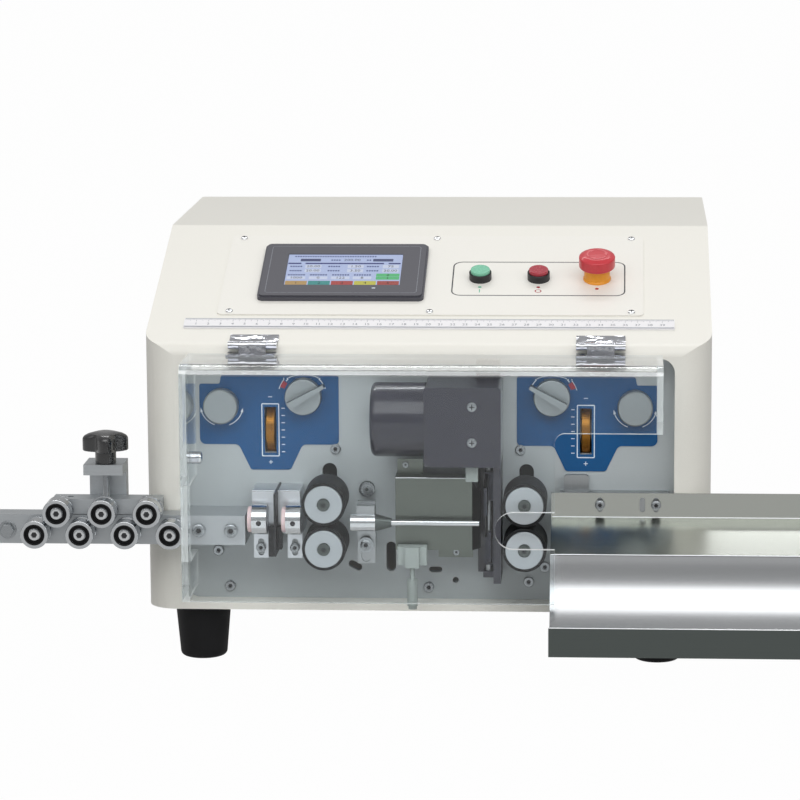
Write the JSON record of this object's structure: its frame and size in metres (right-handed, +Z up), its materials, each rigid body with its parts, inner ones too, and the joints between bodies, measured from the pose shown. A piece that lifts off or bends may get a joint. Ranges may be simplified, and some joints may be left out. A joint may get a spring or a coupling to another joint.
{
  "type": "wire cutting stripping machine",
  "caption": "Bench wire cutter and stripper: sloped cabinet with touch screen, geared feed wheels, V-blade cutter, roller straightener, hinged clear cover and delivery tray.",
  "frame": {"origin": "on the floor under the middle of the cabinet, at the centre of the four foot bolts", "axes": "+Z up, +X along the wire's travel from straightener to tray, -Y is the working side"},
  "size_m": [0.762, 0.5369, 0.337],
  "materials": {
    "cream_paint": "satin powder coat",
    "panel_paint": "satin printed panel",
    "plate_grey": "satin anodised plate",
    "cutter_paint": "dark grey-violet powder coat",
    "stainless": "brushed",
    "steel": "machined",
    "bright_steel": "bright plated",
    "aluminium": "machined, clear anodised",
    "dark_steel": "blackened",
    "brass": "turned and knurled",
    "black_rubber": "moulded",
    "tyre_rubber": "ground polyurethane",
    "black_plastic": "fine grain",
    "bezel_plastic": "fine grain",
    "screen_glass": "lit display",
    "label_blue": "printed film",
    "green_plastic": "moulded",
    "red_plastic": "moulded",
    "clear_acrylic": "polished",
    "ruler_white": "printed",
    "board_green": "coated board"
  },
  "bodies": {
    "machine": {"cabinet_shell": "cream_paint", "chassis": "cream_paint", "rubber_feet": "black_rubber", "front_plate": "plate_grey", "control_panel": "panel_paint", "hmi_bezel": "bezel_plastic", "hmi_screen": "screen_glass", "ruler_strip": "ruler_white", "button_collars": "black_plastic", "feed_labels": "label_blue", "feed_bearings": "steel", "stepper_motors": "dark_steel", "electronics": "board_green", "power_inlet": "black_plastic", "cutter_covers": "cutter_paint", "chip_guard": "stainless", "blade_guide": "dark_steel", "inlet_guides": "aluminium", "wire_sensors": "black_plastic", "air_nozzle": "aluminium", "mount_screws": "bright_steel", "straightener_rail": "steel", "tray": "stainless", "tray_bracket": "steel", "hinge_leaves": "bright_steel"},
    "cover": {"clear_cover": "clear_acrylic", "cover_leaves": "bright_steel"},
    "feed_front_lower": {"tyre_front_lower": "tyre_rubber", "spindle_front_lower": "bright_steel"},
    "lift_front": {"lift_plate_front": "steel"},
    "feed_front_upper": {"tyre_front_upper": "tyre_rubber", "spindle_front_upper": "bright_steel"},
    "selector_front": {"lift_selector_front": "aluminium"},
    "thumb_front": {"thumbwheel_front": "brass"},
    "cap_front": {"pressure_cap_front": "aluminium"},
    "feed_rear_lower": {"tyre_rear_lower": "tyre_rubber", "spindle_rear_lower": "bright_steel"},
    "lift_rear": {"lift_plate_rear": "steel"},
    "feed_rear_upper": {"tyre_rear_upper": "tyre_rubber", "spindle_rear_upper": "bright_steel"},
    "selector_rear": {"lift_selector_rear": "aluminium"},
    "thumb_rear": {"thumbwheel_rear": "brass"},
    "cap_rear": {"pressure_cap_rear": "aluminium"},
    "cutter_screw": {"lead_screw": "steel"},
    "cutter_upper": {"blade_upper": "steel"},
    "cutter_lower": {"blade_lower": "steel"},
    "pipe": {"swing_pipe": "steel"},
    "upper_bar": {"straightener_bar": "steel"},
    "clamp": {"clamp_knob": "black_plastic"},
    "roller_l1": {"roller_lower_1": "bright_steel"},
    "roller_l2": {"roller_lower_2": "bright_steel"},
    "roller_l3": {"roller_lower_3": "bright_steel"},
    "roller_l4": {"roller_lower_4": "bright_steel"},
    "roller_u1": {"roller_upper_1": "bright_steel"},
    "roller_u2": {"roller_upper_2": "bright_steel"},
    "roller_u3": {"roller_upper_3": "bright_steel"},
    "start": {"start_button": "green_plastic"},
    "stop": {"stop_button": "red_plastic"},
    "estop": {"estop_button": "red_plastic"},
    "rocker": {"power_rocker": "black_plastic"}
  },
  "joints": [
    {"name": "cover_hinge", "type": "hinge", "parent": "machine", "child": "cover", "pos_m": [0, -0.214, 0.2645], "axis": [-1, 0, 0], "range_deg": [0, 150]},
    {"name": "feed_front_lower_spin", "type": "hinge", "parent": "machine", "child": "feed_front_lower", "pos_m": [-0.0804, -0.21, 0.1053], "axis": [0, 1, 0], "continuous": true},
    {"name": "lift_front_slide", "type": "slide", "parent": "machine", "child": "lift_front", "axis": [0, 0, 1], "range_m": [0, 0.005]},
    {"name": "feed_front_upper_spin", "type": "hinge", "parent": "lift_front", "child": "feed_front_upper", "pos_m": [-0.0804, -0.21, 0.1417], "axis": [0, 1, 0], "continuous": true},
    {"name": "selector_front_turn", "type": "hinge", "parent": "machine", "child": "selector_front", "pos_m": [-0.101, -0.195, 0.2195], "axis": [0, -1, 0], "range_deg": [0, 90]},
    {"name": "thumb_front_turn", "type": "hinge", "parent": "machine", "child": "thumb_front", "pos_m": [-0.1285, -0.1745, 0.191], "axis": [1, 0, 0], "range_deg": [-720, 720]},
    {"name": "cap_front_turn", "type": "hinge", "parent": "machine", "child": "cap_front", "pos_m": [-0.1683, -0.195, 0.2115], "axis": [0, 1, 0], "range_deg": [-720, 720]},
    {"name": "feed_rear_lower_spin", "type": "hinge", "parent": "machine", "child": "feed_rear_lower", "pos_m": [0.0804, -0.21, 0.1053], "axis": [0, 1, 0], "continuous": true},
    {"name": "lift_rear_slide", "type": "slide", "parent": "machine", "child": "lift_rear", "axis": [0, 0, 1], "range_m": [0, 0.005]},
    {"name": "feed_rear_upper_spin", "type": "hinge", "parent": "lift_rear", "child": "feed_rear_upper", "pos_m": [0.0804, -0.21, 0.1417], "axis": [0, 1, 0], "continuous": true},
    {"name": "selector_rear_turn", "type": "hinge", "parent": "machine", "child": "selector_rear", "pos_m": [0.101, -0.195, 0.2195], "axis": [0, 1, 0], "range_deg": [0, 90]},
    {"name": "thumb_rear_turn", "type": "hinge", "parent": "machine", "child": "thumb_rear", "pos_m": [0.1285, -0.1745, 0.191], "axis": [1, 0, 0], "range_deg": [-720, 720]},
    {"name": "cap_rear_turn", "type": "hinge", "parent": "machine", "child": "cap_rear", "pos_m": [0.1683, -0.195, 0.2115], "axis": [0, 1, 0], "range_deg": [-720, 720]},
    {"name": "cutter_screw_turn", "type": "hinge", "parent": "machine", "child": "cutter_screw", "pos_m": [0.0508, -0.206, 0.125], "axis": [0, 0, 1], "range_deg": [0, 810]},
    {"name": "cutter_upper_slide", "type": "slide", "parent": "machine", "child": "cutter_upper", "axis": [0, 0, 1], "range_m": [-0.009, 0]},
    {"name": "cutter_lower_slide", "type": "slide", "parent": "machine", "child": "cutter_lower", "axis": [0, 0, 1], "range_m": [0, 0.009]},
    {"name": "pipe_swing", "type": "hinge", "parent": "machine", "child": "pipe", "pos_m": [-0.0485, -0.22, 0.1033], "axis": [0, -1, 0], "range_deg": [0, 10]},
    {"name": "clamp_turn", "type": "hinge", "parent": "machine", "child": "clamp", "pos_m": [-0.26, -0.221, 0.175], "axis": [0, 0, 1], "range_deg": [0, 2160]},
    {"name": "upper_bar_slide", "type": "slide", "parent": "machine", "child": "upper_bar", "axis": [0, 0, 1], "range_m": [0, 0.006]},
    {"name": "roller_l1_spin", "type": "hinge", "parent": "machine", "child": "roller_l1", "pos_m": [-0.3149, -0.242, 0.1148], "axis": [0, 1, 0], "continuous": true},
    {"name": "roller_l2_spin", "type": "hinge", "parent": "machine", "child": "roller_l2", "pos_m": [-0.2783, -0.242, 0.1148], "axis": [0, 1, 0], "continuous": true},
    {"name": "roller_l3_spin", "type": "hinge", "parent": "machine", "child": "roller_l3", "pos_m": [-0.2417, -0.242, 0.1148], "axis": [0, 1, 0], "continuous": true},
    {"name": "roller_l4_spin", "type": "hinge", "parent": "machine", "child": "roller_l4", "pos_m": [-0.2051, -0.242, 0.1148], "axis": [0, 1, 0], "continuous": true},
    {"name": "roller_u1_spin", "type": "hinge", "parent": "upper_bar", "child": "roller_u1", "pos_m": [-0.2966, -0.242, 0.1322], "axis": [0, 1, 0], "continuous": true},
    {"name": "roller_u2_spin", "type": "hinge", "parent": "upper_bar", "child": "roller_u2", "pos_m": [-0.26, -0.242, 0.1322], "axis": [0, 1, 0], "continuous": true},
    {"name": "roller_u3_spin", "type": "hinge", "parent": "upper_bar", "child": "roller_u3", "pos_m": [-0.2234, -0.242, 0.1322], "axis": [0, 1, 0], "continuous": true},
    {"name": "start_press", "type": "slide", "parent": "machine", "child": "start", "axis": [0, 0.346, -0.9382], "range_m": [0, 0.002], "stiffness_N_per_m": 600},
    {"name": "stop_press", "type": "slide", "parent": "machine", "child": "stop", "axis": [0, 0.346, -0.9382], "range_m": [0, 0.002], "stiffness_N_per_m": 600},
    {"name": "estop_press", "type": "slide", "parent": "machine", "child": "estop", "axis": [0, 0.346, -0.9382], "range_m": [0, 0.004], "stiffness_N_per_m": 1500},
    {"name": "power_rocker_turn", "type": "hinge", "parent": "machine", "child": "rocker", "pos_m": [0.15, 0.208, 0.124], "axis": [-1, 0, 0], "range_deg": [0, 16]}
  ],
  "couplings": [
    {"joint": "feed_front_upper_spin", "follows": "feed_front_lower_spin", "ratio": -1},
    {"joint": "selector_front_turn", "follows": "lift_front_slide", "rad_per_m": 314.16},
    {"joint": "feed_rear_upper_spin", "follows": "feed_rear_lower_spin", "ratio": -1},
    {"joint": "selector_rear_turn", "follows": "lift_rear_slide", "rad_per_m": 314.16},
    {"joint": "cutter_screw_turn", "follows": "cutter_upper_slide", "rad_per_m": -1570.8},
    {"joint": "cutter_lower_slide", "follows": "cutter_upper_slide", "ratio": -1},
    {"joint": "clamp_turn", "follows": "upper_bar_slide", "rad_per_m": 6283.2}
  ]
}
